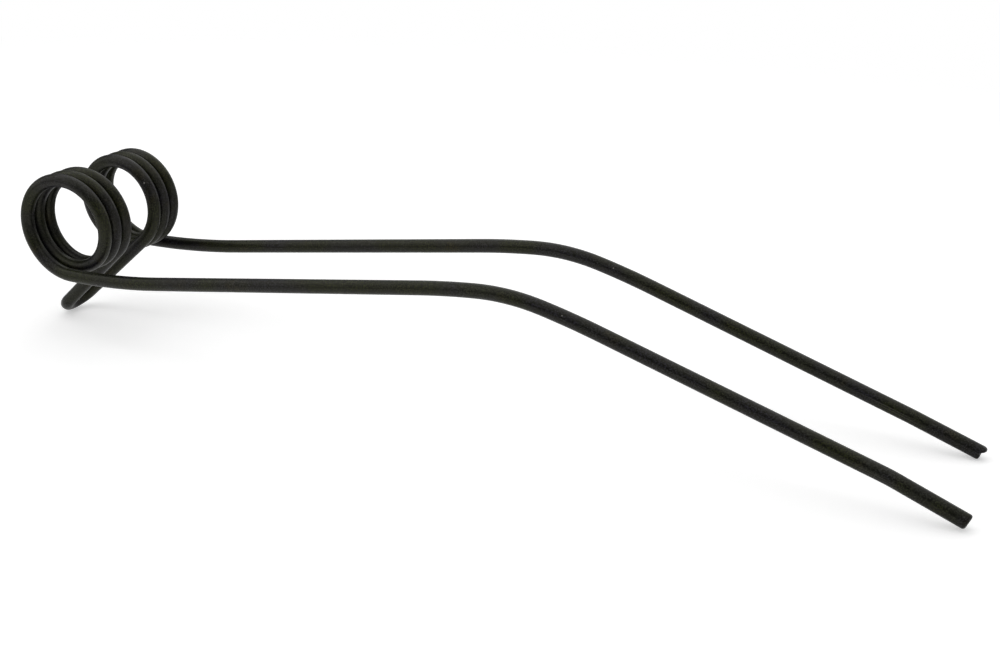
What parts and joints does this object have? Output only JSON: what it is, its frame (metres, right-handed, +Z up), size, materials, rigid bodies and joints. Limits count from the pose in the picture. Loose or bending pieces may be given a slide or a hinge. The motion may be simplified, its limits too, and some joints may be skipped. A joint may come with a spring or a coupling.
{
  "type": "hay rake tine",
  "caption": "Spring-wire hay rake tine: coils joined by a hairpin loop that clamps to the rake arm, with long bent raking legs.",
  "frame": {"origin": "on the common axis of the two coils, midway between them", "axes": "+X along the legs towards the toes, +Y along the coils' axis to the left leg, +Z up as the tine stands on its loop and toes"},
  "size_m": [0.5818, 0.089, 0.1053],
  "materials": {
    "black_paint": "satin black paint"
  },
  "bodies": {
    "root": {"rake_tine": "black_paint"}
  },
  "joints": []
}
